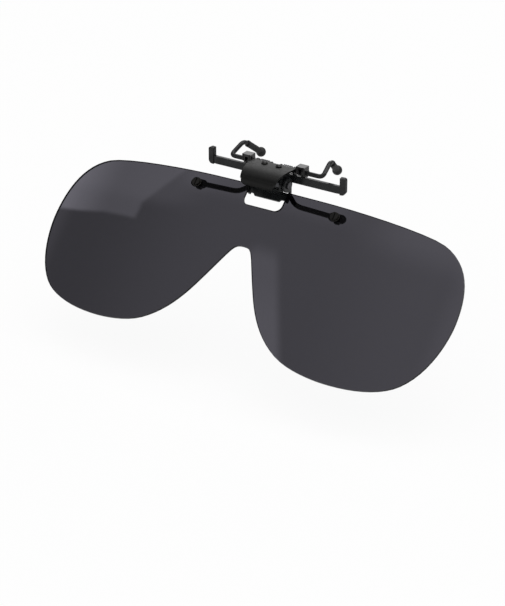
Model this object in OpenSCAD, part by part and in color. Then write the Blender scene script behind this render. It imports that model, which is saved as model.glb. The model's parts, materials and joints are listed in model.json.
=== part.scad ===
// Flip-up sunglass lens on a spring clip that grips a pair of eyeglasses.
// Row frame: X to the viewer's right, Y back towards the wearer, Z up, as worn.
// The origin is the middle of the clip bar's rear face, which meets the eyeglasses.
// The lens is drawn tilted forward by flip_angle, half way up its travel.

/* [Lens] */
// Full width of the one-piece lens
lens_w = 139; // [130:1:148]
// Height of the top edge above the lens centre
lens_top = 14.5; // [13.5:0.1:16]
// Depth of the two lobes below the lens centre
lens_drop = 36.5; // [33:0.5:40]
// Thickness of the lens sheet
lens_t = 0.8; // [0.6:0.1:1]
// Radius of the sphere that the sheet is pressed to
lens_r = 540; // [400:10:900]
// Depth of the nose arch's top below the lens centre
nose_top = 4.9; // [4:0.1:6]
// Half width of the nose gap at its straight flank
nose_half = 8.2; // [7:0.1:10]
// Distance of each lobe's lowest point from the middle
lobe_x = 39; // [36:0.5:42]
// Half width of the notch in the top edge
notch_half = 6.6; // [6.5:0.05:6.8]
// Depth of the notch below the top edge
notch_depth = 6.6; // [6:0.1:7]
// Radius of the notch's lower corners
notch_r = 2.2; // [1:0.1:3]

/* [Flip hinge] */
// Angle of the lens from hanging straight down
flip_angle = 46; // [0:1:90]
// Distance of the hinge pin in front of the bar's rear face
pin_front = 4.6; // [4.4:0.1:5]
// Distance of the hinge pin below the bar's middle
pin_drop = 0.6; // [0.4:0.1:0.8]
// Distance of the hinge pin in front of the lens face
pin_ahead = 1.74; // [1.6:0.02:1.9]
// Height of the hinge pin above the lens centre
pin_height = 16; // [15.8:0.1:16.4]
// Radius of the hinge pin
pin_r = 0.7; // [0.5:0.05:0.8]
// Radius of the detent cam on the pin
cam_r = 1.5; // [1.3:0.05:1.6]
// Depth of each flat on the cam
cam_flat = 0.18; // [0.1:0.02:0.3]
// Running clearance of a shaft in its bore, on the radius
run_gap = 0.04; // [0.02:0.01:0.08]

/* [Clip bar] */
// Length of the straight bar between the two prongs
bar_l = 41.6; // [40:0.2:43]
// Height of the bar strip
bar_h = 2.4; // [2.2:0.1:2.8]
// Thickness of the bar strip
bar_t = 0.9; // [0.7:0.1:1]
// Angle by which each prong is bent back
prong_angle = 8; // [4:1:20]
// Length of each prong plate
prong_l = 2.6; // [2.4:0.1:3.4]
// Height of each prong above the bar's middle
prong_up = 3.5; // [3:0.1:4.5]
// Wall of the soft pad on each prong
pad_t = 0.25; // [0.2:0.05:0.5]
// Width of prong that each pad covers
pad_w = 1.6; // [1.4:0.1:1.6]

/* [Hinge frame and cover] */
// Half width of the hinge frame
frame_half = 5.5; // [5.2:0.1:5.7]
// Sheet thickness of the hinge frame
frame_t = 0.7; // [0.5:0.05:0.8]
// Height of the frame's top shelf above the bar's middle
shelf_top = 3.1; // [3:0.1:3.4]
// Half width of the cover at its rear edge
cover_half = 7.4; // [7:0.1:7.6]
// Half width of the cover at its front lip
cover_lip_half = 5.6; // [5:0.1:6]
// Sheet thickness of the cover
cover_t = 0.5; // [0.4:0.05:0.6]
// Distance of the cover's front from the bar's rear face
cover_front = 11.1; // [10.8:0.1:11.6]
// Depth of the cover's lip below the bar's middle
lip_drop = 0.8; // [0.4:0.1:1]
// Spacing of the two cover rivets
cover_rivet_span = 4.9; // [4:0.1:6]
// Radius of each small rivet's shank
rivet_r = 0.55; // [0.4:0.05:0.6]
// Radius of each small rivet's head
rivet_head_r = 0.95; // [0.8:0.05:1.1]
// Thickness of the detent leaf spring
leaf_t = 0.3; // [0.2:0.05:0.35]

/* [Lens bracket] */
// Sheet thickness of the lens bracket
strap_t = 0.7; // [0.5:0.05:0.8]
// Width of each strap leg
strap_w = 1.4; // [1.2:0.1:1.6]
// Distance of each lens screw from the middle
screw_x = 24; // [22:0.5:26]
// Height of each lens screw above the lens centre
screw_z = 10.9; // [10:0.1:11.5]
// Radius of each lens screw's shank
screw_r = 0.7; // [0.5:0.05:0.8]
// Radius of each lens screw's head
screw_head_r = 1.25; // [1.1:0.05:1.5]
// Radius of each bracket ear round the hinge pin
ear_r = 2.2; // [2:0.05:2.3]
// Gap between the lens and what lies on it
lens_gap = 0.1; // [0.05:0.01:0.2]

/* [Clamp arms] */
// Radius of the arm wire
wire_r = 0.68; // [0.6:0.02:0.76]
// Height of the wire's axis above the bar's middle
wire_z = 2.6; // [2.5:0.05:2.7]
// Distance of each arm's elbow from the middle
elbow_x = 15.9; // [15.2:0.1:16.6]
// Distance by which each hook leans in from its elbow
hook_in = 0.8; // [0:0.1:1.2]
// Distance of the hook's top behind the bar
hook_y = 5.3; // [4.6:0.1:6]
// Height of the hook's top above the bar's middle
hook_z = 5.3; // [4.9:0.1:5.9]
// Distance of each tip from the middle
tip_x = 13.4; // [12.6:0.1:14.2]
// Distance of each tip behind the bar
tip_y = 12.2; // [11:0.1:13.5]
// Depth of each tip below the bar's middle
tip_drop = 0.1; // [0:0.1:1]
// Radius of the soft ball on each tip
ball_r = 1.5; // [1.35:0.05:1.7]
// Radius of the soft sleeve on each arm
sleeve_r = 1; // [0.95:0.05:1.2]
// Distance of each pinch tab's inner side from the middle
tab_in = 7.8; // [7.7:0.1:8.2]
// Width of each pinch tab
tab_w = 3; // [2.8:0.1:3.4]
// Depth of each pinch tab, front to back
tab_d = 2.6; // [2.4:0.1:3]
// Height of each pinch tab's top above the bar's middle
tab_top = 4.8; // [4.6:0.1:5.2]
// Radius of the clamp spring's wire
coil_wire_r = 0.16; // [0.12:0.01:0.18]
// Turns of each clamp spring
coil_turns = 5; // [4:1:5]

/* [Hidden] */
$fn = 48;
eps = 0.02;
lens_half = lens_w / 2;
bar_half = bar_l / 2;
pin_y = -pin_front;
pin_z = -pin_drop;
notch_z = lens_top - notch_depth;
lug_t = 0.7;
arm_y = -bar_t / 2;
frame_back = -bar_t - 0.05;

// Curves
function bez(a, b, c, d, n) =
  [for (i = [0 : n]) let (t = i / n, u = 1 - t)
    u * u * u * a + 3 * u * u * t * b + 3 * u * t * t * c + t * t * t * d];
function dir(a) = [cos(a), sin(a)];
// One smooth stretch from p to q that leaves at angle a and arrives at angle b
function stretch(p, a, l, q, b, m, n) = bez(p, p + l * dir(a), q - m * dir(b), q, n);
function tail(list) = [for (i = [1 : len(list) - 1]) list[i]];
function flip(list) = [for (i = [len(list) - 1 : -1 : 0]) [-list[i][0], list[i][1]]];
function back_to_front(list) = [for (i = [len(list) - 1 : -1 : 0]) list[i]];
function unit(v) = v / norm(v);
function side(a, b) = let (d = unit(b - a)) [-d[1], d[0]];
function normal_at(c, i) =
  side(c[max(i - 1, 0)], c[min(i + 1, len(c) - 1)]);
function shifted(c, w) = [for (i = [0 : len(c) - 1]) c[i] + w * normal_at(c, i)];
function ribbon(c, lo, hi) = concat(shifted(c, hi), back_to_front(shifted(c, lo)));

// Tubes swept along a list of points in space
function tangent(c, i) = unit(c[min(i + 1, len(c) - 1)] - c[max(i - 1, 0)]);
function ring(c, i, r, sides, ref) =
  let (t = tangent(c, i), u = unit(cross(t, ref)), v = cross(t, u))
  [for (k = [0 : sides - 1]) let (a = 360 * k / sides)
    c[i] + r * (cos(a) * u + sin(a) * v)];
module tube(c, r, sides, ref) {
  n = len(c);
  pts = [for (i = [0 : n - 1]) each ring(c, i, r, sides, ref)];
  ends = [[for (k = [0 : sides - 1]) k], [for (k = [sides - 1 : -1 : 0]) (n - 1) * sides + k]];
  walls = [for (i = [0 : n - 2], k = [0 : sides - 1], h = [0, 1])
    let (a = i * sides + k, b = i * sides + (k + 1) % sides)
    h == 0 ? [a, a + sides, b] : [b, a + sides, b + sides]];
  polyhedron(points = pts, faces = concat(ends, walls));
}
// A corner at b, rounded over the distance d on each side of it
function corner(a, b, c, d, n) =
  let (p = b + d * unit(a - b), q = b + d * unit(c - b))
  [for (i = [0 : n]) let (t = i / n, u = 1 - t) u * u * p + 2 * u * t * b + t * t * q];

// Puts children, drawn with the lens upright about its own centre, at the tilted lens
module at_lens() {
  translate([0, pin_y, pin_z])
    rotate([-flip_angle, 0, 0])
      translate([0, pin_ahead, -pin_height])
        children();
}
// Stands a flat drawing up, so that its second axis is Z, and fills it from y0 to y1
module upright(y0, y1) {
  translate([0, y1, 0]) rotate([90, 0, 0]) linear_extrude(y1 - y0) children();
}
// Turns a drawing of Y and Z into a plate from x0 to x1
module sideways(x0, x1) {
  translate([x0, 0, 0]) rotate([90, 0, 90]) linear_extrude(x1 - x0) children();
}
module rod_x(x0, x1, y, z, r) {
  translate([x0, y, z]) rotate([0, 90, 0]) cylinder(r = r, h = x1 - x0);
}
module rod_y(y0, y1, x, z, r) {
  translate([x, y1, z]) rotate([90, 0, 0]) cylinder(r = r, h = y1 - y0);
}
// Lens sheet and what follows its curve, between two depths behind the front face
module bent_sheet(d0, d1) {
  intersection() {
    upright(-5, 12) children();
    translate([0, lens_r, 0]) difference() {
      sphere(r = lens_r - d0, $fn = 360);
      sphere(r = lens_r - d1, $fn = 360);
    }
  }
}
function lens_sag(x, z) = (x * x + z * z) / 2 / lens_r;

// Lens outline, right half, from the nose arch round to the top edge
// Every stretch leaves and arrives at an angle, over a length that grows with the lens
pull = lens_w / 139;
flank_angle = -62.6;
inner_angle = -28;
outer_angle = 42.3;
shoulder_angle = 160;
flank = [nose_half, -nose_top - 11];
lobe_inner = [23.3, 3 - lens_drop];
lobe_low = [lobe_x, -lens_drop];
lobe_outer = [lens_half - 8.4, 5.9 - lens_drop];
widest = [lens_half, -9.1];
shoulder = [lens_half - 11.2, lens_top - 2.8];
top_start = [19.5, lens_top];
right_half = concat(
  stretch([0, -nose_top], 0, 3.4 * pull, flank, flank_angle, 11.2 * pull, 12),
  tail(stretch(flank, flank_angle, 6 * pull, lobe_inner, inner_angle, 9.7 * pull, 12)),
  tail(stretch(lobe_inner, inner_angle, 5.7 * pull, lobe_low, 0, 2.6 * pull, 8)),
  tail(stretch(lobe_low, 0, 8.8 * pull, lobe_outer, outer_angle, 6.2 * pull, 10)),
  tail(stretch(lobe_outer, outer_angle, 9.1 * pull, widest, 90, 4.7 * pull, 12)),
  tail(stretch(widest, 90, 6.4 * pull, shoulder, shoulder_angle, 10.7 * pull, 14)),
  tail(stretch(shoulder, shoulder_angle, 6.3 * pull, top_start, 180, 7.8 * pull, 8))
);
module lens_outline() {
  difference() {
    polygon(concat(right_half, flip(right_half)));
    for (s = [-1, 1])
      translate([s * (notch_half - notch_r), notch_z + notch_r]) circle(r = notch_r);
    translate([-notch_half + notch_r, notch_z]) square([2 * (notch_half - notch_r), notch_depth + 1]);
    translate([-notch_half, notch_z + notch_r]) square([2 * notch_half, notch_depth + 1]);
    for (s = [-1, 1]) translate([s * screw_x, screw_z]) circle(r = screw_r + run_gap);
  }
}
module lens_plate() {
  color([0.2, 0.2, 0.22, 0.85]) at_lens() bent_sheet(0, lens_t) lens_outline();
}

// Lens bracket: a cross plate with two pierced ears, and a strap leg to each screw
ear_in = frame_half + 0.65;
ear_out = ear_in + strap_t;
cam_half = frame_half - frame_t - 0.4;
cross_top = lens_top + 0.1;
cross_step = cross_top - 1.7 * strap_w;
cross_low = cross_top - 2.2 * strap_w;
eye_r = screw_r + 0.6;
eye_z = screw_z + 0.3;
eye_half = 1.5;
step_half = 4.8;
foot_half = 4.2;
leg_knee = 1.45 * eye_half + ear_in;
leg_curve = concat(
  bez([ear_in, cross_top - 0.4], [leg_knee, cross_top - 0.7], [leg_knee, eye_z + 0.3],
    [2 * ear_in, eye_z + 0.25], 10),
  [[screw_x, eye_z]]
);
module strap_outline() {
  polygon([
    [-ear_out, cross_top], [ear_out, cross_top], [ear_out, cross_step], [step_half, cross_step],
    [foot_half, cross_low], [-foot_half, cross_low], [-step_half, cross_step], [-ear_out, cross_step]
  ]);
  for (s = [0, 1]) mirror([s, 0]) {
    polygon(ribbon(leg_curve, -strap_w / 2, strap_w / 2));
    translate([screw_x - eye_half, eye_z]) circle(r = eye_r);
    translate([screw_x + eye_half, eye_z]) circle(r = eye_r);
    translate([screw_x - eye_half, eye_z - eye_r]) square([2 * eye_half, 2 * eye_r]);
  }
}
module ear_outline() {
  over = lens_top + 0.35;
  foot_in = lens_t + 0.3;
  foot_out = foot_in + strap_t + 0.5;
  difference() {
    union() {
      translate([-pin_ahead, pin_height]) circle(r = ear_r);
      polygon([
        [-pin_ahead - 0.7 * ear_r, over], [foot_in, over], [foot_in, cross_step - 0.3],
        [foot_out, cross_step - 0.3], [foot_out, cross_top], [0.2, pin_height + 0.35 * ear_r]
      ]);
    }
    translate([-pin_ahead, pin_height]) circle(r = pin_r + 0.02);
  }
}
// Tongue that joins the cross plate to the cam through the notch
module tongue_outline() {
  plate_front = lens_t + lens_gap;
  plate_back = plate_front + strap_t;
  root = cross_top - 1.6 * strap_t;
  difference() {
    polygon([
      [plate_front, root], [plate_back, root], [plate_back, cross_top], [plate_front, cross_top + 0.4],
      [0.5 - pin_ahead, pin_height - 0.8 * cam_r], [-pin_ahead, pin_height - cam_r - 0.6]
    ]);
    translate([-pin_ahead, pin_height]) circle(r = cam_r + 0.03);
  }
}
module lens_bracket() {
  color([0.05, 0.05, 0.055]) at_lens() {
    bent_sheet(lens_t + lens_gap, lens_t + lens_gap + strap_t) difference() {
      strap_outline();
      for (s = [-1, 1]) translate([s * screw_x, screw_z]) circle(r = screw_r + run_gap);
    }
    sideways(ear_in, ear_out) ear_outline();
    mirror([1, 0, 0]) sideways(ear_in, ear_out) ear_outline();
    sideways(-cam_half, cam_half) tongue_outline();
  }
}
module hinge_pin() {
  head_r = pin_r + 0.4;
  head_in = ear_out + 0.05;
  head_out = ear_out + 0.5;
  color([0.3, 0.3, 0.32]) at_lens() translate([0, -pin_ahead, pin_height]) {
    rod_x(-head_in - eps, head_in + eps, 0, 0, pin_r);
    rod_x(head_in, head_out, 0, 0, head_r);
    rod_x(-head_out, -head_in, 0, 0, head_r);
  }
}
module flip_cam() {
  color([0.55, 0.55, 0.57]) at_lens() translate([0, -pin_ahead, pin_height])
    difference() {
      rod_x(-cam_half, cam_half, 0, 0, cam_r);
      rod_x(-cam_half - 1, cam_half + 1, 0, 0, pin_r + 0.02);
      for (a = [0, 90, 180, 270]) rotate([a + flip_angle, 0, 0])
        translate([-cam_half - 1, cam_r - cam_flat, -cam_r])
          cube([2 * cam_half + 2, cam_r, 2 * cam_r]);
    }
}

// Lens fastening, seated on the lens's curve at each screw
screw_y = lens_sag(screw_x, screw_z);
washer_t = 0.25;
head_seat = screw_y - lens_gap - washer_t - 0.03;
screw_head_t = 0.7;
slot_w = 0.36;
slot_d = 0.3;
washer_r = 1.45;
nut_r = 1.4;
nut_h = 0.9;
nut_seat = screw_y + lens_t + 2 * lens_gap + strap_t;
module lens_screw() {
  at_lens() {
    rod_y(screw_y - lens_gap - washer_t - 0.1, nut_seat + nut_h + 0.3, screw_x, screw_z, screw_r);
    difference() {
      rod_y(head_seat - screw_head_t, head_seat, screw_x, screw_z, screw_head_r);
      translate([screw_x - slot_w / 2, head_seat - screw_head_t - 1, screw_z - 2])
        cube([slot_w, 1 + slot_d, 4]);
    }
  }
}
module lens_nut() {
  at_lens() difference() {
    translate([screw_x, nut_seat + nut_h, screw_z]) rotate([90, 0, 0])
      cylinder(r = nut_r, h = nut_h, $fn = 6);
    rod_y(nut_seat - 1, nut_seat + nut_h + 1, screw_x, screw_z, screw_r + 0.02);
  }
}
module lens_washer() {
  at_lens() difference() {
    rod_y(screw_y - lens_gap - washer_t, screw_y - lens_gap, screw_x, screw_z, washer_r);
    rod_y(screw_y - 2, screw_y + 1, screw_x, screw_z, screw_r + 0.02);
  }
}

// Clip bar: a flat strip with a bent-back prong at each end and bearing lugs on top
module prong_outline(x0, grow) {
  lo = -bar_h / 2 - grow;
  hi = prong_up + grow;
  out = prong_l + grow;
  r = 0.9 + grow;
  top_r = 0.7;
  translate([x0, lo + r]) square([out - x0, hi - lo - r - top_r]);
  translate([x0, lo]) square([out - x0 - r, hi - lo]);
  intersection() {
    translate([out - r, lo + r]) circle(r = r);
    translate([x0, lo]) square([out - x0, 2 * r]);
  }
  translate([out - top_r, hi - top_r]) circle(r = top_r);
  translate([x0, hi - 2 * top_r]) square([out - x0 - top_r, 2 * top_r]);
}
prong_w = 1.7;
module at_prong() {
  translate([bar_half, 0, 0]) rotate([0, 0, prong_angle]) children();
}
lug_a = tab_in - 1.7;
groove_w = lug_t + 0.4;
groove_x = tab_in + tab_w / 2 - groove_w / 2;
lug_r = wire_r + 0.4;
module lug(x) {
  rod_x(x, x + lug_t, arm_y, wire_z, lug_r);
  sideways(x, x + lug_t) polygon([
    [0, bar_h / 2 - 0.4], [arm_y + lug_r, wire_z], [arm_y - lug_r, wire_z], [-bar_t, bar_h / 2 - 0.4]
  ]);
}
module half_bar() {
  translate([-eps, -bar_t, -bar_h / 2]) cube([bar_half + eps, bar_t, bar_h]);
  translate([bar_half, 0, -bar_h / 2]) rotate([0, 0, -90])
    rotate_extrude(angle = prong_angle) square([bar_t, bar_h]);
  at_prong() upright(-bar_t, 0) {
    prong_outline(prong_l - prong_w, 0);
    translate([0, -bar_h / 2]) square([prong_l / 2, bar_h]);
  }
  lug(lug_a);
  lug(groove_x + 0.2);
}
frame_rivet_x = 2.3;
sunk_t = 0.35;
module clip_bar() {
  color([0.06, 0.06, 0.065]) difference() {
    union() {
      half_bar();
      mirror([1, 0, 0]) half_bar();
    }
    rod_x(-bar_half, bar_half, arm_y, wire_z, wire_r + run_gap);
    for (s = [-1, 1]) {
      rod_y(-bar_t - 1, 1, s * frame_rivet_x, 0, rivet_r + 0.02);
      rod_y(-sunk_t - 0.03, 1, s * frame_rivet_x, 0, rivet_head_r + 0.03);
    }
  }
}
module prong_pad() {
  color([0.12, 0.12, 0.13]) at_prong() difference() {
    upright(-bar_t - pad_t, pad_t) prong_outline(prong_l - pad_w, pad_t);
    upright(-bar_t - 0.03, 0.03) prong_outline(prong_l - pad_w - 1, 0.03);
  }
}

// Hinge frame: a bent sheet with two pierced cheeks under a riveted top shelf
cheek_r = ear_r - 0.1;
shelf_t = 0.6;
shelf_back = -2.1;
frame_back_h = 2.2;
module cheek_outline() {
  difference() {
    union() {
      translate([pin_y, pin_z]) circle(r = cheek_r);
      polygon([
        [frame_back, -bar_h / 2], [frame_back, shelf_top - 0.1], [pin_y - 1, shelf_top - 0.1],
        [pin_y - 0.95 * cheek_r, pin_z + 0.3], [pin_y, pin_z - 0.95 * cheek_r]
      ]);
    }
    translate([pin_y, pin_z]) circle(r = pin_r + run_gap);
    translate([arm_y, wire_z]) circle(r = coil_r + coil_wire_r + 0.4);
  }
}
module hinge_frame() {
  color([0.07, 0.07, 0.075]) difference() {
    union() {
      translate([-frame_half, frame_back - frame_t, -bar_h / 2]) cube([2 * frame_half, frame_t, frame_back_h]);
      translate([-frame_half, pin_y - 1, shelf_top - shelf_t])
        cube([2 * frame_half, shelf_back - pin_y + 1, shelf_t]);
      sideways(frame_half - frame_t, frame_half) cheek_outline();
      mirror([1, 0, 0]) sideways(frame_half - frame_t, frame_half) cheek_outline();
    }
    for (s = [-1, 1]) {
      rod_y(-4, 1, s * frame_rivet_x, 0, rivet_r + 0.02);
      translate([s * cover_rivet_span / 2, cover_rivet_y, 0]) cylinder(r = rivet_r + 0.02, h = 9);
    }
  }
}
cover_rivet_y = -2.95;
cover_mid_half = 6.6;
lip_r = 1.5;
lip_z = 0.7;
cover_curve = bez(
  [-1.4, shelf_top + 0.68], [-6.6, shelf_top + 0.9],
  [-cover_front - 1.1, 3.4], [-cover_front + 0.4, -lip_drop], 28
);
module hinge_cover() {
  color([0.13, 0.13, 0.13]) difference() {
    intersection() {
      sideways(-cover_half, cover_half) polygon(ribbon(cover_curve, 0, cover_t));
      translate([0, 0, -6]) linear_extrude(14) polygon([
        [-cover_half, 1], [-cover_half, -3], [-cover_mid_half, -8],
        [-cover_lip_half, -cover_front - 1], [cover_lip_half, -cover_front - 1],
        [cover_mid_half, -8], [cover_half, -3], [cover_half, 1]
      ]);
      upright(-20, 3) {
        translate([-9, 1.2]) square([18, 6]);
        for (s = [-1, 1]) translate([s * (cover_lip_half - lip_r), lip_z]) circle(r = lip_r);
        translate([lip_r - cover_lip_half, -2]) square([2 * (cover_lip_half - lip_r), 4]);
        translate([-cover_lip_half, lip_z]) square([2 * cover_lip_half, 1]);
      }
    }
    for (s = [-1, 1]) translate([s * cover_rivet_span / 2, cover_rivet_y, 0])
      cylinder(r = rivet_r + 0.02, h = 9);
  }
}
module cover_rivets() {
  color([0.05, 0.05, 0.05]) for (s = [-1, 1])
    translate([s * cover_rivet_span / 2, cover_rivet_y, 0]) {
      translate([0, 0, shelf_top - 0.9]) cylinder(r = rivet_r, h = 1.9);
      translate([0, 0, shelf_top - 1]) cylinder(r = rivet_head_r, h = 0.35);
      translate([0, 0, shelf_top + 0.8]) cylinder(r = rivet_head_r, h = 0.2);
      translate([0, 0, shelf_top + 0.95]) intersection() {
        translate([0, 0, -0.9]) sphere(r = 1.3);
        cylinder(r = rivet_head_r, h = 2);
      }
    }
}
module frame_rivets() {
  front = frame_back - frame_t - leaf_t - 0.05;
  color([0.45, 0.45, 0.47]) for (s = [-1, 1]) {
    rod_y(front - 0.3, -0.1, s * frame_rivet_x, 0, rivet_r);
    rod_y(front - 0.4, front - 0.03, s * frame_rivet_x, 0, rivet_head_r);
    rod_y(-sunk_t, -0.03, s * frame_rivet_x, 0, rivet_head_r);
  }
}
leaf_half = 3.6;
leaf_bend = 0.5;
module leaf_spring() {
  y0 = frame_back - frame_t - 0.03;
  top = pin_z + cam_r + 0.3;
  bend_y = y0 - leaf_t - leaf_bend;
  tip_front = pin_y - 1.2;
  color([0.6, 0.6, 0.62]) difference() {
    sideways(-leaf_half, leaf_half) {
      translate([y0 - leaf_t, -1.1]) square([leaf_t, top + 0.6]);
      difference() {
        translate([bend_y, top - leaf_bend]) circle(r = leaf_bend + leaf_t);
        translate([bend_y, top - leaf_bend]) circle(r = leaf_bend);
        translate([bend_y - 2.5, top - 3]) square([2.5, 5]);
        translate([bend_y - 2.5, top - leaf_bend - 3]) square([5, 3]);
      }
      translate([tip_front, top]) square([bend_y - tip_front, leaf_t]);
    }
    for (s = [-1, 1]) rod_y(-6, 1, s * frame_rivet_x, 0, rivet_r + 0.02);
  }
}

// Clamp spring: a wire coil round the arm's inner end, as one unbroken tube
coil_r = wire_r + coil_wire_r + 0.12;
coil_in = 2.5;
coil_out = lug_a - 0.5;
coil_steps = 8;
coil_points = [for (i = [0 : coil_turns * coil_steps])
  let (f = i / (coil_turns * coil_steps), a = -60 - 360 * coil_turns * f)
  [coil_out - (coil_out - coil_in) * f, arm_y + coil_r * cos(a), wire_z + coil_r * sin(a)]];
coil_gap = (coil_out - coil_in) / coil_turns - 2 * coil_wire_r;
echo(least_gap_between_coils = coil_gap);
module clamp_spring() {
  color([0.6, 0.6, 0.62]) tube(coil_points, coil_wire_r, 6, [1, 0, 0.02]);
}

// Clamp arm: a wire journalled on the bar, hooked over the rim, with a soft tip
wire_in = 1.9;
bend = 1.6;
elbow = [elbow_x, arm_y, wire_z];
hook = [elbow_x - hook_in, hook_y, hook_z];
tip = [tip_x, tip_y, -tip_drop];
wire_path = concat(
  [[elbow_x - bend - 0.6, arm_y, wire_z]],
  corner([0, arm_y, wire_z], elbow, hook, bend, 8),
  corner(elbow, hook, tip, bend, 8),
  [tip]
);
module arm_wire() {
  color([0.08, 0.08, 0.085]) {
    rod_x(wire_in, elbow_x - bend - 0.4, arm_y, wire_z, wire_r);
    rod_x(wire_in - 0.5, wire_in + eps, arm_y, wire_z, wire_r + 0.3);
    tube(wire_path, wire_r - eps, 12, [-0.3, -0.4, 0.87]);
  }
}
function along(p, q, d) = p + d * unit(q - p);
module aim(p, q) {
  d = q - p;
  translate(p) rotate([0, acos(d[2] / norm(d)), atan2(d[1], d[0])]) children();
}
sleeve_start = 1.8;
module tip_sleeve() {
  sleeve_l = norm(tip - hook) - sleeve_start;
  color([0.1, 0.1, 0.1]) difference() {
    union() {
      aim(along(hook, tip, sleeve_start), tip) cylinder(r = sleeve_r, h = sleeve_l);
      translate(tip) sphere(r = ball_r);
    }
    aim(along(hook, tip, 1), tip) cylinder(r = wire_r + 0.03, h = sleeve_l + 0.85);
  }
}
module pinch_tab() {
  hub_r = wire_r + 0.45;
  rib_in = 0.45;
  rib_r = 0.2;
  tab_front = 0.4 - tab_d;
  color([0.09, 0.09, 0.095]) difference() {
    union() {
      rod_x(tab_in, tab_in + tab_w, arm_y, wire_z, hub_r);
      translate([tab_in, tab_front, wire_z]) cube([tab_w, tab_d, tab_top - wire_z]);
    }
    rod_x(tab_in - 1, tab_in + tab_w + 1, arm_y, wire_z, wire_r + 0.02);
    translate([groove_x, tab_front - 1, wire_z - 2 * hub_r])
      cube([groove_w, tab_d + 2, 2 * hub_r + lug_r + 0.3]);
    for (x = [tab_in + rib_in, tab_in + tab_w - rib_in])
      translate([x, tab_front, wire_z - hub_r]) cylinder(r = rib_r, h = tab_top);
  }
}
module mirrored() {
  mirror([1, 0, 0]) children();
}

lens_plate();
lens_bracket();
hinge_pin();
flip_cam();
color([0.35, 0.35, 0.37]) mirrored() lens_screw();  // left_lens_screw
color([0.35, 0.35, 0.37]) lens_screw();  // right_lens_screw
color([0.35, 0.35, 0.37]) mirrored() lens_nut();  // left_lens_nut
color([0.35, 0.35, 0.37]) lens_nut();  // right_lens_nut
color([0.1, 0.1, 0.1]) mirrored() lens_washer();  // left_lens_washer
color([0.1, 0.1, 0.1]) lens_washer();  // right_lens_washer
clip_bar();
hinge_frame();
hinge_cover();
cover_rivets();
frame_rivets();
leaf_spring();
mirrored() prong_pad();  // left_prong_pad
prong_pad();  // right_prong_pad
mirrored() clamp_spring();  // left_clamp_spring
clamp_spring();  // right_clamp_spring
mirrored() arm_wire();  // left_arm_wire
arm_wire();  // right_arm_wire
mirrored() tip_sleeve();  // left_tip_sleeve
tip_sleeve();  // right_tip_sleeve
mirrored() pinch_tab();  // left_pinch_tab
pinch_tab();  // right_pinch_tab
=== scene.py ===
"""Flip-up clip-on sunglasses: the finish of every piece, the stage, the light and the camera."""

import json
import math

import bpy
from mathutils import Matrix, Vector


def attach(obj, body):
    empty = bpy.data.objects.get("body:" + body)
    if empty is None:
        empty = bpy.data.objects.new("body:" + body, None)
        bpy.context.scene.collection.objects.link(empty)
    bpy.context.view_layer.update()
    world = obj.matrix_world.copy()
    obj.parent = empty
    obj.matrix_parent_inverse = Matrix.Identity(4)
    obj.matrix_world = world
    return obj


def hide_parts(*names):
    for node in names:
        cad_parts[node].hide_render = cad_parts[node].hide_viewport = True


MM = 0.001
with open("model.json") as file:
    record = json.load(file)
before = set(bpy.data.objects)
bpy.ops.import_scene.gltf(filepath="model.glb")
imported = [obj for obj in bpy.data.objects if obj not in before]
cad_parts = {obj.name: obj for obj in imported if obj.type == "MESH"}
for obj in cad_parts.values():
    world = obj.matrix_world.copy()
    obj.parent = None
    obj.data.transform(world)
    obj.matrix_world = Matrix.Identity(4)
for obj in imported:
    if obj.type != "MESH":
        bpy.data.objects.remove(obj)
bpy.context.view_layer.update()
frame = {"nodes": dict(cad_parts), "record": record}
nodes = frame["nodes"]
scene = bpy.context.scene

# The lens's own axes: it is tilted about the pin, and its origin is the middle of its front face
PIN = Vector((0.0, -4.6, -0.6)) * MM
FACE_AHEAD = 1.74
FACE_DROP = 16.0
TILT = Matrix.Rotation(math.radians(-46), 3, "X")
LENS_ORIGIN = PIN + TILT @ Vector((0.0, FACE_AHEAD, -FACE_DROP)) * MM
LENS_UP = TILT @ Vector((0.0, 0.0, 1.0))
LENS_FACE = TILT @ Vector((0.0, -1.0, 0.0))

# Colour of the light that the lens lets through, as shares of its red
LENS_PASSES = (1.0, 0.985, 1.065)

# Camera, fitted to the lens outline and the mirrored pairs of the clip
PHOTO_H = 606
FOCAL_PX = 1859.9
SENSOR_MM = 36.0
CAM_PLACE = Vector((0.26986, -0.42981, 0.20976))
CAM_RIGHT = Vector((0.8393, 0.5437, 0.0))
CAM_UP = Vector((-0.2421, 0.3736, 0.8954))


def make_camera():
    data = bpy.data.cameras.new("camera")
    data.sensor_width = SENSOR_MM
    data.lens = FOCAL_PX / PHOTO_H * SENSOR_MM
    data.clip_start = 0.01
    data.clip_end = 20
    cam = bpy.data.objects.new("camera", data)
    scene.collection.objects.link(cam)
    right = CAM_RIGHT.normalized()
    back = right.cross(CAM_UP).normalized()
    up = back.cross(right)
    turn = Matrix((right, up, back)).transposed()
    cam.matrix_world = Matrix.Translation(CAM_PLACE) @ turn.to_4x4()
    scene.camera = cam


# Building blocks for materials
def new_material(name):
    mat = bpy.data.materials.new(name)
    mat.use_nodes = True
    tree = mat.node_tree
    shader = tree.nodes["Principled BSDF"]
    return mat, tree, shader


def noise(tree, scale, detail, stretch=(1, 1, 1)):
    """A noise texture in object space, in features per metre, which can be stretched."""
    place = tree.nodes.new("ShaderNodeTexCoord")
    mapping = tree.nodes.new("ShaderNodeMapping")
    mapping.inputs["Scale"].default_value = stretch
    tex = tree.nodes.new("ShaderNodeTexNoise")
    tex.inputs["Scale"].default_value = scale
    tex.inputs["Detail"].default_value = detail
    tex.inputs["Roughness"].default_value = 0.55
    tree.links.new(place.outputs["Object"], mapping.inputs["Vector"])
    tree.links.new(mapping.outputs["Vector"], tex.inputs["Vector"])
    return tex.outputs["Fac"]


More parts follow.
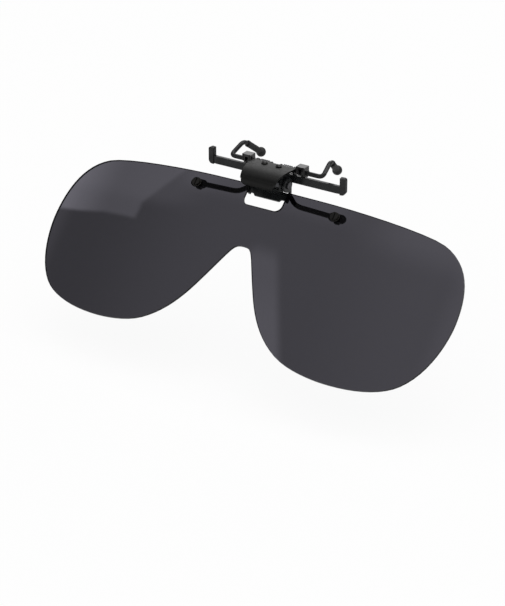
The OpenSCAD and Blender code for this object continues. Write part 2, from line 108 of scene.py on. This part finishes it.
def ramp(tree, value, low, high, to_low=0.0, to_high=1.0, kind="LINEAR"):
    """Goes from to_low to to_high while the value goes from low to high, and stays there beyond."""
    node = tree.nodes.new("ShaderNodeMapRange")
    node.interpolation_type = kind
    tree.links.new(value, node.inputs["Value"])
    for key, number in (("From Min", low), ("From Max", high), ("To Min", to_low), ("To Max", to_high)):
        node.inputs[key].default_value = number
    return node.outputs["Result"]


def step(tree, value, low, high, to_low=0.0, to_high=1.0):
    """A ramp that starts and ends softly."""
    return ramp(tree, value, low, high, to_low, to_high, "SMOOTHSTEP")


def mix_colour(tree, factor, first, second):
    """Mixes two colours, of which the first may also be another node's output."""
    node = tree.nodes.new("ShaderNodeMix")
    node.data_type = "RGBA"
    tree.links.new(factor, node.inputs["Factor"])
    if isinstance(first, tuple):
        node.inputs["A"].default_value = (*first, 1)
    else:
        tree.links.new(first, node.inputs["A"])
    node.inputs["B"].default_value = (*second, 1)
    return node.outputs["Result"]


def mix_shaders(tree, factor, first, second):
    mix = tree.nodes.new("ShaderNodeMixShader")
    tree.links.new(factor, mix.inputs["Fac"])
    tree.links.new(first, mix.inputs[1])
    tree.links.new(second, mix.inputs[2])
    return mix.outputs[0]


def bump(tree, shader, height, strength, distance):
    node = tree.nodes.new("ShaderNodeBump")
    node.inputs["Strength"].default_value = strength
    node.inputs["Distance"].default_value = distance
    tree.links.new(height, node.inputs["Height"])
    tree.links.new(node.outputs["Normal"], shader.inputs["Normal"])


def calc(tree, operation, *values):
    node = tree.nodes.new("ShaderNodeMath")
    node.operation = operation
    for socket, value in zip(node.inputs, values):
        if isinstance(value, (int, float)):
            socket.default_value = value
        else:
            tree.links.new(value, socket)
    return node.outputs[0]


def chain(tree, operation, first, *others):
    """The same operation over any number of values, such as a sum or a product."""
    result = first
    for value in others:
        result = calc(tree, operation, result, value)
    return result


def dot(tree, vector, direction):
    node = tree.nodes.new("ShaderNodeVectorMath")
    node.operation = "DOT_PRODUCT"
    tree.links.new(vector, node.inputs[0])
    node.inputs[1].default_value = direction
    return node.outputs["Value"]


def mottled(tree, shader, pattern, low, high, dark, light):
    tone = mix_colour(tree, ramp(tree, pattern, low, high), dark, light)
    tree.links.new(tone, shader.inputs["Base Color"])


def roughened(tree, shader, pattern, low, high, rough_low, rough_high):
    rough = ramp(tree, pattern, low, high, rough_low, rough_high)
    tree.links.new(rough, shader.inputs["Roughness"])


def coated(name, dark, light, rough_low, rough_high, grain=2500, strength=0.08, coat=0.0, shine=0.5):
    """A painted, plated or moulded surface: slight mottling, uneven gloss and a fine orange peel."""
    mat, tree, shader = new_material(name)
    mottled(tree, shader, noise(tree, 420, 5), 0.35, 0.68, dark, light)
    roughened(tree, shader, noise(tree, 900, 6), 0.3, 0.7, rough_low, rough_high)
    bump(tree, shader, noise(tree, grain, 3), strength, 0.04 * MM)
    shader.inputs["Specular IOR Level"].default_value = shine
    shader.inputs["Coat Weight"].default_value = coat
    shader.inputs["Coat Roughness"].default_value = 0.12
    return mat


def lens_tint_and_painted_light(tree, place):
    """Share of the light that the lens lets through, over its own width x and height z in mm: an even smoke
    tint with painted shade and painted reflections laid over it.
    """
    moved = tree.nodes.new("ShaderNodeVectorMath")
    moved.operation = "SUBTRACT"
    tree.links.new(place, moved.inputs[0])
    moved.inputs[1].default_value = LENS_ORIGIN
    x = calc(tree, "MULTIPLY", dot(tree, moved.outputs[0], (1, 0, 0)), 1 / MM)
    z = calc(tree, "MULTIPLY", dot(tree, moved.outputs[0], LENS_UP), 1 / MM)
    wave = ramp(tree, noise(tree, 60, 2), 0.0, 1.0, -0.9, 0.9)

    # The share gets lighter from the left lobe to the right one, which paints shade over the left lobe, and
    # lighter towards both outer rims, which is painted light
    tint_with_painted_shade = step(tree, x, -58, -6, 0.0322, 0.0484)
    right_lobe = step(tree, x, 24, 60, 0.0, 0.0085)
    right_rim = step(tree, x, 62, 69.5, 0.0, 0.0105)
    left_rim = step(tree, x, -62, -69.5, 0.0, 0.014)

    # Painted light also makes it lighter towards the top rim, over the right lobe and over the middle
    top_right = chain(tree, "MULTIPLY", step(tree, x, 26, 48, 0.0, 0.017), step(tree, z, 0, 12))
    over_middle = chain(tree, "MULTIPLY", step(tree, x, -34, -24), step(tree, x, 36, 20))
    top_middle = chain(tree, "MULTIPLY", step(tree, z, 6.5, 13, 0.0, 0.014), over_middle)

    # A painted reflection, a paler patch at the upper left, has a crisp lower edge, and a side edge that
    # slants above z 0.8
    left_of_bend = calc(tree, "MAXIMUM", calc(tree, "MULTIPLY_ADD", x, -1.0, -52.0), 0.0)
    lower_edge = calc(tree, "MULTIPLY_ADD", left_of_bend, -0.13, -4.7)
    above = step(tree, calc(tree, "ADD", calc(tree, "SUBTRACT", z, lower_edge), wave), -0.9, 0.9)
    over_bend = calc(tree, "MAXIMUM", calc(tree, "SUBTRACT", z, 0.8), 0.0)
    side_edge = calc(tree, "MULTIPLY_ADD", over_bend, 0.76, -39.8)
    from_side = calc(tree, "SUBTRACT", side_edge, x)
    beside = step(tree, calc(tree, "ADD", from_side, wave), -1.0, 1.4)
    reflection_strength = calc(tree, "SUBTRACT", step(tree, x, -68, -50, 0.079, 0.033), step(tree, z, -1, 5, 0.0, 0.008))
    painted_reflection = chain(tree, "MULTIPLY", above, beside, reflection_strength)

    # A soft painted glow from that reflection fades out to the right of that side edge
    glow = chain(tree, "MULTIPLY", step(tree, from_side, -22, -1), step(tree, z, -1, 5, 0.0, 0.017))

    # A paler band of painted light runs down the right flank of the nose arch
    band_edge = calc(tree, "MULTIPLY_ADD", z, -0.45, 8.8)
    near_flank = step(tree, calc(tree, "SUBTRACT", band_edge, x), -2.6, 1.2)
    right_half = step(tree, x, 1.0, 5.0)
    below_arch = chain(tree, "ADD", step(tree, z, -1, -8, 0.0, 0.024), step(tree, z, -10, -26, 0.0, 0.010))
    painted_flank_light = chain(tree, "MULTIPLY", near_flank, right_half, below_arch)

    # The rims, the reflection, its glow and the flank band are all painted light laid on the smoke tint
    painted_rim_light = chain(tree, "ADD", right_rim, left_rim, top_right, top_middle)
    return chain(tree, "ADD", tint_with_painted_shade, right_lobe, painted_rim_light, painted_reflection, glow, painted_flank_light)


def lens_material():
    """Smoke grey sun lens: both faces together let a few hundredths of the light through."""
    mat, tree, shader = new_material("smoke_lens")
    coords = tree.nodes.new("ShaderNodeTexCoord")
    facing = calc(tree, "ABSOLUTE", dot(tree, coords.outputs["Normal"], LENS_FACE))
    wall = step(tree, facing, 0.55, 0.85, 1.0, 0.0)
    haze = ramp(tree, noise(tree, 60, 3), 0.3, 0.7)
    face_tone = mix_colour(tree, haze, (0.0005, 0.0004, 0.0008), (0.0009, 0.0007, 0.0013))
    tone = mix_colour(tree, wall, face_tone, (0.016, 0.016, 0.017))
    tree.links.new(tone, shader.inputs["Base Color"])
    roughened(tree, shader, noise(tree, 350, 6), 0.3, 0.75, 0.03, 0.08)
    bump(tree, shader, noise(tree, 35, 2), 0.02, 0.3 * MM)
    shader.inputs["IOR"].default_value = 1.5
    shader.inputs["Specular IOR Level"].default_value = 0.2
    passing = tree.nodes.new("ShaderNodeBsdfTransparent")
    passing.inputs["Color"].default_value = (*LENS_PASSES, 1)
    one_face = calc(tree, "SQRT", lens_tint_and_painted_light(tree, coords.outputs["Object"]))
    clear = calc(tree, "MULTIPLY", one_face, calc(tree, "SUBTRACT", 1.0, wall))
    surface = mix_shaders(tree, clear, shader.outputs[0], passing.outputs[0])
    tree.links.new(surface, tree.nodes["Material Output"].inputs["Surface"])
    return mat


def rubber_material():
    mat, tree, shader = new_material("black_rubber")
    mottled(tree, shader, noise(tree, 700, 5), 0.3, 0.7, (0.010, 0.010, 0.0105), (0.023, 0.023, 0.024))
    roughened(tree, shader, noise(tree, 1600, 5), 0.3, 0.7, 0.42, 0.62)
    bump(tree, shader, noise(tree, 3800, 4), 0.22, 0.06 * MM)
    return mat


def steel_material():
    mat, tree, shader = new_material("bare_steel")
    brushed = noise(tree, 900, 4, stretch=(0.12, 1, 1))
    mottled(tree, shader, brushed, 0.3, 0.7, (0.07, 0.07, 0.075), (0.17, 0.17, 0.18))
    roughened(tree, shader, brushed, 0.3, 0.7, 0.2, 0.38)
    shader.inputs["Metallic"].default_value = 1.0
    bump(tree, shader, brushed, 0.1, 0.03 * MM)
    return mat


# Name, dark and light tone, lowest and highest roughness, and what differs from the usual coat
COATED = (
    ("black_metal", (0.006, 0.0065, 0.007), (0.013, 0.014, 0.015), 0.16, 0.30, {}),
    ("cover_paint", (0.0030, 0.0030, 0.0027), (0.0060, 0.0060, 0.0056), 0.30, 0.40,
     {"grain": 3200, "strength": 0.12, "shine": 0.32}),
    ("black_fasteners", (0.003, 0.003, 0.003), (0.010, 0.009, 0.008), 0.12, 0.22, {}),
    ("black_plastic", (0.003, 0.003, 0.0034), (0.008, 0.008, 0.009), 0.05, 0.12, {"coat": 0.6}),
    ("clear_washer", (0.012, 0.011, 0.010), (0.028, 0.026, 0.023), 0.3, 0.5, {}),
)


def make_materials():
    mats = {"smoke_lens": lens_material(), "bare_steel": steel_material(), "black_rubber": rubber_material()}
    for name, dark, light, rough_low, rough_high, more in COATED:
        mats[name] = coated(name, dark, light, rough_low, rough_high, **more)
    return mats


# Width in mm of the rounded edge on each piece that has one
EDGE = {
    "clip_bar": 0.14, "hinge_frame": 0.12, "hinge_cover": 0.12,
    "left_prong_pad": 0.18, "right_prong_pad": 0.18, "left_pinch_tab": 0.2, "right_pinch_tab": 0.2,
    "leaf_spring": 0.06, "cover_rivets": 0.08, "frame_rivets": 0.08, "hinge_pin": 0.1,
    "left_lens_screw": 0.1, "right_lens_screw": 0.1, "left_lens_nut": 0.1, "right_lens_nut": 0.1,
}


def finish_node(name, obj, mat):
    for place in obj.material_slots:
        place.material = mat
    if not obj.material_slots:
        obj.data.materials.append(mat)
    if name in EDGE:
        weld = obj.modifiers.new("weld", "WELD")
        weld.merge_threshold = 0.001 * MM
        bevel = obj.modifiers.new("edge", "BEVEL")
        bevel.width = EDGE[name] * MM
        bevel.segments = 3
        bevel.limit_method = "ANGLE"
        bevel.angle_limit = math.radians(38)


# Sizes in mm of the smooth tubes that stand for the faceted wires, coils and sleeves
AXIS_Y = -0.45
AXIS_Z = 2.6
ELBOW = Vector((15.9, AXIS_Y, AXIS_Z))
HOOK = Vector((15.1, 5.3, 5.3))
TIP = Vector((13.4, 12.2, -0.1))
BEND = 1.6
WIRE_R = 0.68
COLLAR_R = 0.97
COLLAR_END = 2.4
COIL_R = 0.96
COIL_WIRE_R = 0.155
COIL_OUTER_X = 5.6
COIL_INNER_X = 2.5
SLEEVE_R = 0.97
LIP_R = 1.03
BALL_R = 1.495


def swept(name, points, radii, sides):
    """A round tube along points in mm, with its own radius at each, closed at both ends."""
    count = len(points)
    heading = (points[1] - points[0]).normalized()
    across = heading.orthogonal().normalized()
    verts = []
    for i, centre in enumerate(points):
        new_heading = (points[min(i + 1, count - 1)] - points[max(i - 1, 0)]).normalized()
        across = heading.rotation_difference(new_heading) @ across
        heading = new_heading
        third = heading.cross(across)
        for k in range(sides):
            turn = 2 * math.pi * k / sides
            verts.append((centre + radii[i] * (math.cos(turn) * across + math.sin(turn) * third)) * MM)
    faces = [tuple(reversed(range(sides))), tuple(range((count - 1) * sides, count * sides))]
    for i in range(count - 1):
        for k in range(sides):
            a = i * sides + k
            b = i * sides + (k + 1) % sides
            faces.append((a, b, b + sides, a + sides))
    mesh = bpy.data.meshes.new(name)
    mesh.from_pydata(verts, [], faces)
    mesh.polygons.foreach_set("use_smooth", [len(face) == 4 for face in faces])
    mesh.update()
    obj = bpy.data.objects.new(name, mesh)
    scene.collection.objects.link(obj)
    return obj


def rounded_corner(a, b, c, parts=14):
    start = b + BEND * (a - b).normalized()
    end = b + BEND * (c - b).normalized()
    shares = [i / parts for i in range(parts + 1)]
    return [(1 - t) ** 2 * start + 2 * (1 - t) * t * b + t * t * end for t in shares]


def on_side(points, side):
    return [Vector((q.x * side, q.y, q.z)) for q in points]


def arm_wire(side):
    """The wire from its stepped collar, along the bar, round the elbow and the hook to the tip."""
    collar = [Vector((x, AXIS_Y, AXIS_Z)) for x in (1.41, 1.5, 1.8, 1.9, 1.96, COLLAR_END)]
    radii = [0.84, COLLAR_R, COLLAR_R, 0.88, WIRE_R, WIRE_R]
    run = [Vector((COLLAR_END + 1.19 * i, AXIS_Y, AXIS_Z)) for i in range(1, 10)]
    path = run + rounded_corner(run[-1], ELBOW, HOOK) + rounded_corner(ELBOW, HOOK, TIP) + [TIP]
    return swept("arm_wire_smooth", on_side(collar + path, side), radii + [WIRE_R] * len(path), 24)


def clamp_spring(side, turns=5, per_turn=30):
    """The coil round the arm's axis, with slightly tapered wire ends."""
    points = []
    for i in range(turns * per_turn + 1):
        share = i / (turns * per_turn)
        turn = math.radians(-60) - 2 * math.pi * turns * share
        x = COIL_OUTER_X - (COIL_OUTER_X - COIL_INNER_X) * share
        points.append(Vector((x, AXIS_Y + COIL_R * math.cos(turn), AXIS_Z + COIL_R * math.sin(turn))))
    radii = [COIL_WIRE_R] * len(points)
    radii[0] = radii[-1] = 0.12
    return swept("clamp_spring_smooth", on_side(points, side), radii, 12)


def tip_sleeve(side):
    """A soft sleeve with a lip at its open end, which swells into the ball."""
    length = (TIP - HOOK).length
    along = (TIP - HOOK).normalized()
    stations = [(1.8, 0.72), (1.81, 0.9), (1.84, SLEEVE_R), (1.95, LIP_R), (2.25, LIP_R), (2.42, SLEEVE_R)]
    reach = 2.6
    while reach < length + BALL_R - 0.005:
        off = reach - length
        ball = math.sqrt(max(BALL_R ** 2 - off * off, 0.0))
        neck = SLEEVE_R if reach < length else 0.0
        stations.append((reach, (neck ** 9 + ball ** 9) ** (1 / 9)))
        reach += 0.5 if reach < length - 2.2 else 0.07
    stations.append((length + BALL_R - 0.001, 0.03))
    points = [HOOK + distance * along for distance, _ in stations]
    return swept("tip_sleeve_smooth", on_side(points, side), [radius for _, radius in stations], 32)


def add_round_pieces(mats):
    for word, side in (("left", -1), ("right", 1)):
        for maker, node, body, finish in (
            (arm_wire, word + "_arm_wire", word + "_arm", "black_metal"),
            (clamp_spring, word + "_clamp_spring", "clip", "bare_steel"),
            (tip_sleeve, word + "_tip_sleeve", word + "_arm", "black_rubber"),
        ):
            piece = maker(side)
            piece.name = word + "_" + piece.name.split(".")[0]
            piece.data.materials.append(mats[finish])
            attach(piece, body)
            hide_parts(node)


# The stage and the light
FLOOR_HALF = 3.0
FLOOR_GAP = 0.6
FLOOR_TONE = 0.86
FLOOR_WHITE = 0.9
FLOOR_IN_GLOSS = 0.28
GLOSS_SHARE = 0.75
FILL_LIGHT = 0.9
ROOM_IN_GLOSS = 0.16
OVERHEAD_WAY = (0.0, 0.35, 0.94)
BACK_BOX_WAY = (-0.35, 0.80, 0.48)


def eye_rays(tree, path):
    return calc(tree, "MAXIMUM", path.outputs["Is Camera Ray"], path.outputs["Is Transmission Ray"])


def floor_level():
    """Just under the lens where it hangs straight down from its pin, so that no pose reaches the floor."""
    plate = nodes["lens_plate"]
    corners = [plate.matrix_world @ v.co - PIN for v in plate.data.vertices]
    return PIN.z - max(math.hypot(v.y, v.z) for v in corners) - FLOOR_GAP * MM


def make_stage():
    """A pale floor that is nearly white to the eye, keeps a faint shadow, and is dim in reflections."""
    low = floor_level()
    corners = [(x * FLOOR_HALF, y * FLOOR_HALF, low) for x, y in ((-1, -1), (1, -1), (1, 1), (-1, 1))]
    mesh = bpy.data.meshes.new("floor")
    mesh.from_pydata(corners, [], [(0, 1, 2, 3)])
    floor = bpy.data.objects.new("floor", mesh)
    scene.collection.objects.link(floor)
    mat = bpy.data.materials.new("pale_floor")
    mat.use_nodes = True
    tree = mat.node_tree
    tree.nodes.clear()
    out = tree.nodes.new("ShaderNodeOutputMaterial")
    diffuse = tree.nodes.new("ShaderNodeBsdfDiffuse")
    diffuse.inputs["Color"].default_value = (FLOOR_TONE, FLOOR_TONE, FLOOR_TONE, 1)
    glow = tree.nodes.new("ShaderNodeEmission")
    path = tree.nodes.new("ShaderNodeLightPath")
    glossy = path.outputs["Is Glossy Ray"]
    seen = calc(tree, "MULTIPLY", eye_rays(tree, path), FLOOR_WHITE)
    share = calc(tree, "MAXIMUM", seen, calc(tree, "MULTIPLY", glossy, GLOSS_SHARE))
    bright = calc(tree, "MULTIPLY_ADD", glossy, FLOOR_IN_GLOSS - 1.0, 1.0)
    tree.links.new(bright, glow.inputs["Strength"])
    surface = mix_shaders(tree, share, diffuse.outputs[0], glow.outputs[0])
    tree.links.new(surface, out.inputs["Surface"])
    mesh.materials.append(mat)


def background(tree, strength=1.0):
    node = tree.nodes.new("ShaderNodeBackground")
    node.inputs["Color"].default_value = (1, 1, 1, 1)
    node.inputs["Strength"].default_value = strength
    return node


def make_world():
    """White to the eye, an even fill on surfaces, and a dim room with two soft boxes in reflections."""
    world = bpy.data.worlds.new("studio")
    scene.world = world
    world.use_nodes = True
    tree = world.node_tree
    tree.nodes.clear()
    out = tree.nodes.new("ShaderNodeOutputWorld")
    fill = background(tree, FILL_LIGHT)
    white = background(tree)
    room = background(tree)
    ray = tree.nodes.new("ShaderNodeTexCoord").outputs["Generated"]
    overhead = step(tree, dot(tree, ray, OVERHEAD_WAY), 0.5, 0.98, 0.0, 0.36)
    back_box = step(tree, dot(tree, ray, BACK_BOX_WAY), 0.90, 0.97)
    room_light = chain(tree, "ADD", overhead, back_box, ROOM_IN_GLOSS)
    tree.links.new(room_light, room.inputs["Strength"])
    path = tree.nodes.new("ShaderNodeLightPath")
    lit = mix_shaders(tree, path.outputs["Is Glossy Ray"], fill.outputs[0], room.outputs[0])
    surface = mix_shaders(tree, eye_rays(tree, path), lit, white.outputs[0])
    tree.links.new(surface, out.inputs["Surface"])


def area_lamp(name, place, size, power):
    """A soft box of the given width and depth in metres and power in watts that faces the origin."""
    data = bpy.data.lights.new(name, "AREA")
    data.shape = "RECTANGLE"
    data.size, data.size_y = size
    data.energy = power
    lamp = bpy.data.objects.new(name, data)
    scene.collection.objects.link(lamp)
    lamp.rotation_mode = "QUATERNION"
    lamp.rotation_quaternion = (-Vector(place)).to_track_quat("-Z", "Y")
    lamp.location = place


def make_lights():
    area_lamp("overhead", (0.0, 0.25, 1.15), (0.7, 0.5), 1.4)
    area_lamp("key", (-0.4, -1.15, 0.62), (0.25, 0.25), 0.5)
    area_lamp("rim", (0.8, 0.5, 0.9), (0.35, 0.5), 1.3)


make_camera()
make_stage()
make_world()
make_lights()
materials = make_materials()
slot_of = {row["node"]: row["material_slot"] for row in frame["record"]["subparts"]}
for node_name, node_object in nodes.items():
    finish_node(node_name, node_object, materials[slot_of[node_name]])
add_round_pieces(materials)

scene.view_settings.view_transform = "Standard"
